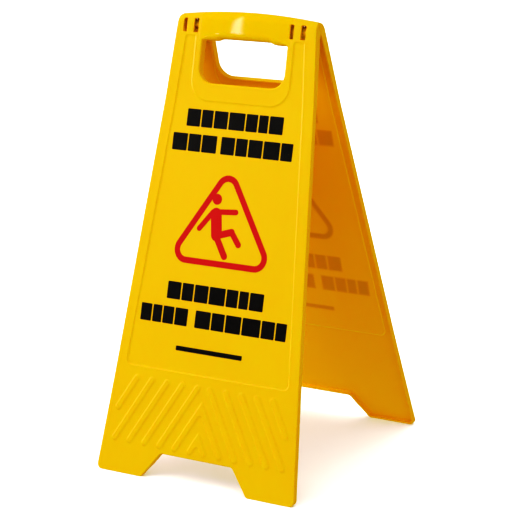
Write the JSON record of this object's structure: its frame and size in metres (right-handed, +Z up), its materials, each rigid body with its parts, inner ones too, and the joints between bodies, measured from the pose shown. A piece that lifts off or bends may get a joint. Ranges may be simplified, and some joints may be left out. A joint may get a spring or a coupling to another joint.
{
  "type": "folding floor sign",
  "caption": "Folding two-panel floor sign that stands as an A-frame on four feet, with an arched carrying grip over a hand opening at the hinged top.",
  "frame": {"origin": "on the floor, at the middle of the footprint, straight below the middle of the hinge axis", "axes": "+X along the hinge axis, +Y from the front panel to the rear panel, +Z up"},
  "size_m": [0.2996, 0.3456, 0.5914],
  "materials": {
    "panel_plastic": "moulded polypropylene, semi-gloss with a fine moulded grain",
    "grip_plastic": "moulded polypropylene, glossy",
    "hinge_plastic": "moulded polypropylene, satin",
    "ink_black": "screen-printed ink, satin",
    "ink_red": "screen-printed ink, satin"
  },
  "bodies": {
    "front": {"front_panel": "panel_plastic", "front_grip": "grip_plastic", "front_pin_carrier": "hinge_plastic", "front_snap_hook": "hinge_plastic", "left_hinge_pin": "hinge_plastic", "front_print_black": "ink_black", "front_print_red": "ink_red"},
    "rear": {"rear_panel": "panel_plastic", "rear_grip": "grip_plastic", "rear_pin_carrier": "hinge_plastic", "rear_snap_hook": "hinge_plastic", "right_hinge_pin": "hinge_plastic", "rear_print_black": "ink_black", "rear_print_red": "ink_red"}
  },
  "joints": [
    {"name": "fold", "type": "hinge", "parent": "front", "child": "rear", "pos_m": [0, 0, 0.56944], "axis": [-1, 0, 0], "range_deg": [0, 32]}
  ]
}
